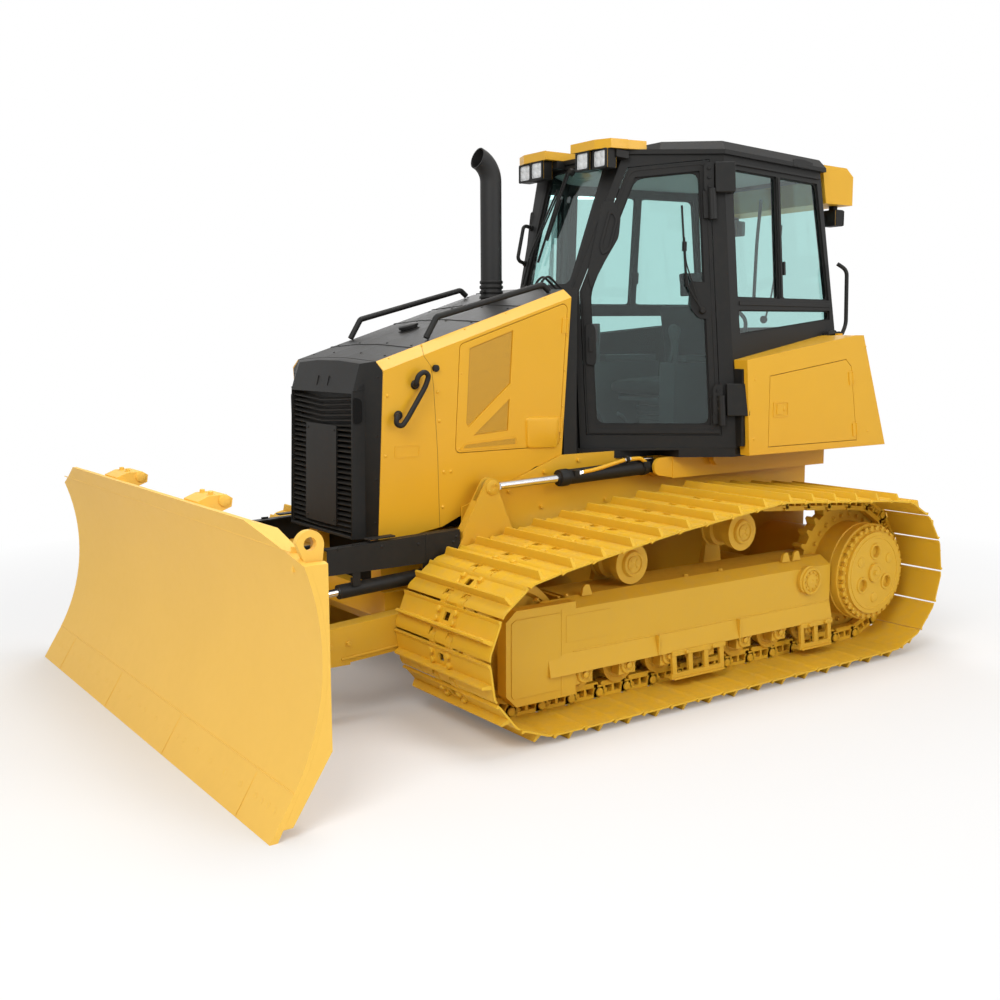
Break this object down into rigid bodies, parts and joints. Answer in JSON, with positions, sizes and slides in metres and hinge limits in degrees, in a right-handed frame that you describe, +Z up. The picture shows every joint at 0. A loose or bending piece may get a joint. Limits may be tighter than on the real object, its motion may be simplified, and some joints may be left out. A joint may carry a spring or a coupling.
{
  "type": "crawler bulldozer",
  "caption": "Crawler bulldozer with wide tracks, an enclosed cab, a sloping hood and a push frame whose blade lifts, angles and tilts.",
  "frame": {"origin": "on the ground under the middle of the machine's overall box", "axes": "+X forward towards the blade, +Y to the machine's left, +Z up"},
  "size_m": [4.73, 3.24, 2.975],
  "materials": {
    "body_yellow": "semi-gloss yellow paint",
    "track_frame_yellow": "satin yellow paint, dusty",
    "blade_yellow": "matt yellow paint, lightly worn",
    "black_paint": "satin black paint",
    "track_yellow": "yellow paint over rolled steel, worn at the edges",
    "chrome_rod": "hard chrome, polished",
    "engine_iron": "painted iron, dark grey",
    "radiator_core": "plain dark core",
    "exhaust_steel": "matt black heat-proof paint",
    "tinted_glass": "tinted safety glass",
    "seat_fabric": "dark grey woven fabric",
    "console_plastic": "grained dark grey plastic",
    "floor_mat": "black mat",
    "lamp_body": "black lamp housing"
  },
  "bodies": {
    "tractor": {"main_frame": "body_yellow", "track_frame_supports": "track_frame_yellow", "engine_block": "engine_iron", "radiator": "radiator_core", "drawbar": "black_paint", "hood_top": "black_paint", "nose_shell": "black_paint", "grille": "black_paint", "exhaust_stack": "exhaust_steel", "hood_handrails": "black_paint", "cab_frame": "black_paint", "cab_windows": "tinted_glass", "cab_floor": "black_paint", "roof": "black_paint", "work_lights": "body_yellow", "rear_tank": "body_yellow", "rear_roof_unit": "body_yellow", "pillar_handle": "black_paint", "operator_seat": "seat_fabric", "controls": "console_plastic", "left_track": "track_yellow", "left_sprocket": "track_frame_yellow", "left_idler": "track_frame_yellow", "left_track_rollers": "track_frame_yellow", "left_track_frame": "track_frame_yellow", "left_side_panel": "body_yellow", "left_fender": "body_yellow", "right_track": "track_yellow", "right_sprocket": "track_frame_yellow", "right_idler": "track_frame_yellow", "right_track_rollers": "track_frame_yellow", "right_track_frame": "track_frame_yellow", "right_side_panel": "body_yellow", "right_fender": "body_yellow"},
    "push_frame": {"push_frame": "track_frame_yellow"},
    "blade_pivot": {"blade_pivot": "track_frame_yellow"},
    "blade": {"blade": "blade_yellow", "blade_frame": "blade_yellow", "cutting_edge": "blade_yellow"},
    "tilt_barrel": {"tilt_barrel": "black_paint"},
    "tilt_rod": {"tilt_rod": "chrome_rod"},
    "left_lift_barrel": {"left_lift_barrel": "black_paint"},
    "left_lift_rod": {"left_lift_rod": "chrome_rod"},
    "left_angle_barrel": {"left_angle_barrel": "black_paint"},
    "left_angle_rod": {"left_angle_rod": "chrome_rod"},
    "left_engine_door": {"left_engine_door": "body_yellow"},
    "left_fender_door": {"left_fender_door": "body_yellow"},
    "left_cab_door": {"left_cab_door": "black_paint", "left_door_glass": "tinted_glass"},
    "right_lift_barrel": {"right_lift_barrel": "black_paint"},
    "right_lift_rod": {"right_lift_rod": "chrome_rod"},
    "right_angle_barrel": {"right_angle_barrel": "black_paint"},
    "right_angle_rod": {"right_angle_rod": "chrome_rod"},
    "right_engine_door": {"right_engine_door": "body_yellow"},
    "right_fender_door": {"right_fender_door": "body_yellow"},
    "right_cab_door": {"right_cab_door": "black_paint", "right_door_glass": "tinted_glass"}
  },
  "joints": [
    {"name": "push_frame_lift", "type": "hinge", "parent": "tractor", "child": "push_frame", "pos_m": [0.15, 0, 0.49], "axis": [0, -1, 0], "range_deg": [-15, 19.5]},
    {"name": "blade_angle", "type": "hinge", "parent": "push_frame", "child": "blade_pivot", "pos_m": [1.9, 0, 0.4], "axis": [0, 0, 1], "range_deg": [-25, 25]},
    {"name": "blade_tilt", "type": "hinge", "parent": "blade_pivot", "child": "blade", "pos_m": [2, 0, 0.4], "axis": [1, 0, 0], "range_deg": [-7.8, 7.8]},
    {"name": "left_lift_barrel_swing", "type": "hinge", "parent": "tractor", "child": "left_lift_barrel", "pos_m": [-0.56, 0.522, 1.142], "axis": [0, -1, 0], "range_deg": [-5.6, 7.2]},
    {"name": "left_lift_rod_stroke", "type": "slide", "parent": "left_lift_barrel", "child": "left_lift_rod", "axis": [0.9995, 0, -0.0319], "range_m": [-0.222, 0.172]},
    {"name": "left_angle_barrel_swing", "type": "hinge", "parent": "push_frame", "child": "left_angle_barrel", "pos_m": [0.845, 0.5, 0.69], "axis": [0, -1, 0], "range_deg": [-3.8, 3.8]},
    {"name": "left_angle_rod_stroke", "type": "slide", "parent": "left_angle_barrel", "child": "left_angle_rod", "axis": [0.9984, 0, -0.0568], "range_m": [-0.216, 0.216]},
    {"name": "right_lift_barrel_swing", "type": "hinge", "parent": "tractor", "child": "right_lift_barrel", "pos_m": [-0.56, -0.522, 1.142], "axis": [0, -1, 0], "range_deg": [-5.6, 7.2]},
    {"name": "right_lift_rod_stroke", "type": "slide", "parent": "right_lift_barrel", "child": "right_lift_rod", "axis": [0.9995, 0, -0.0319], "range_m": [-0.222, 0.172]},
    {"name": "right_angle_barrel_swing", "type": "hinge", "parent": "push_frame", "child": "right_angle_barrel", "pos_m": [0.845, -0.5, 0.69], "axis": [0, -1, 0], "range_deg": [-3.8, 3.8]},
    {"name": "right_angle_rod_stroke", "type": "slide", "parent": "right_angle_barrel", "child": "right_angle_rod", "axis": [0.9984, 0, -0.0568], "range_m": [-0.216, 0.216]},
    {"name": "tilt_barrel_swing", "type": "hinge", "parent": "blade_pivot", "child": "tilt_barrel", "pos_m": [1.952, 0.06, 0.86], "axis": [1, 0, 0], "range_deg": [-7.6, 7.6]},
    {"name": "tilt_rod_stroke", "type": "slide", "parent": "tilt_barrel", "child": "tilt_rod", "axis": [0, -1, 0], "range_m": [-0.065, 0.065]},
    {"name": "left_cab_door_swing", "type": "hinge", "parent": "tractor", "child": "left_cab_door", "pos_m": [-0.816, 0.74889, 2.09758], "axis": [0.0226, -0.069, 0.9974], "range_deg": [0, 100]},
    {"name": "left_engine_door_swing", "type": "hinge", "parent": "tractor", "child": "left_engine_door", "pos_m": [0.06582, 0.47724, 1.67444], "axis": [0, 0.093, 0.9957], "range_deg": [0, 90]},
    {"name": "left_fender_door_swing", "type": "hinge", "parent": "tractor", "child": "left_fender_door", "pos_m": [-1.8715, 0.906, 1.475], "axis": [0.1644, 0, 0.9864], "range_deg": [0, 90]},
    {"name": "right_cab_door_swing", "type": "hinge", "parent": "tractor", "child": "right_cab_door", "pos_m": [-0.816, -0.74889, 2.09758], "axis": [-0.0226, -0.069, -0.9974], "range_deg": [0, 100]},
    {"name": "right_engine_door_swing", "type": "hinge", "parent": "tractor", "child": "right_engine_door", "pos_m": [0.06582, -0.47724, 1.67444], "axis": [0, 0.093, -0.9957], "range_deg": [0, 90]},
    {"name": "right_fender_door_swing", "type": "hinge", "parent": "tractor", "child": "right_fender_door", "pos_m": [-1.8715, -0.906, 1.475], "axis": [-0.1644, 0, -0.9864], "range_deg": [0, 90]}
  ],
  "couplings": [
    {"joint": "left_lift_barrel_swing", "follows": "push_frame_lift", "ratio": 0.359},
    {"joint": "left_lift_rod_stroke", "follows": "push_frame_lift", "m_per_rad": -0.6424},
    {"joint": "left_angle_barrel_swing", "follows": "blade_tilt", "ratio": 0.4708},
    {"joint": "left_angle_rod_stroke", "follows": "blade_angle", "m_per_rad": -0.4888},
    {"joint": "right_lift_barrel_swing", "follows": "push_frame_lift", "ratio": 0.359},
    {"joint": "right_lift_rod_stroke", "follows": "push_frame_lift", "m_per_rad": -0.6424},
    {"joint": "right_angle_barrel_swing", "follows": "blade_tilt", "ratio": -0.4708},
    {"joint": "right_angle_rod_stroke", "follows": "blade_angle", "m_per_rad": 0.4888},
    {"joint": "tilt_barrel_swing", "follows": "blade_tilt", "ratio": 0.9062},
    {"joint": "tilt_rod_stroke", "follows": "blade_tilt", "m_per_rad": 0.4593}
  ]
}
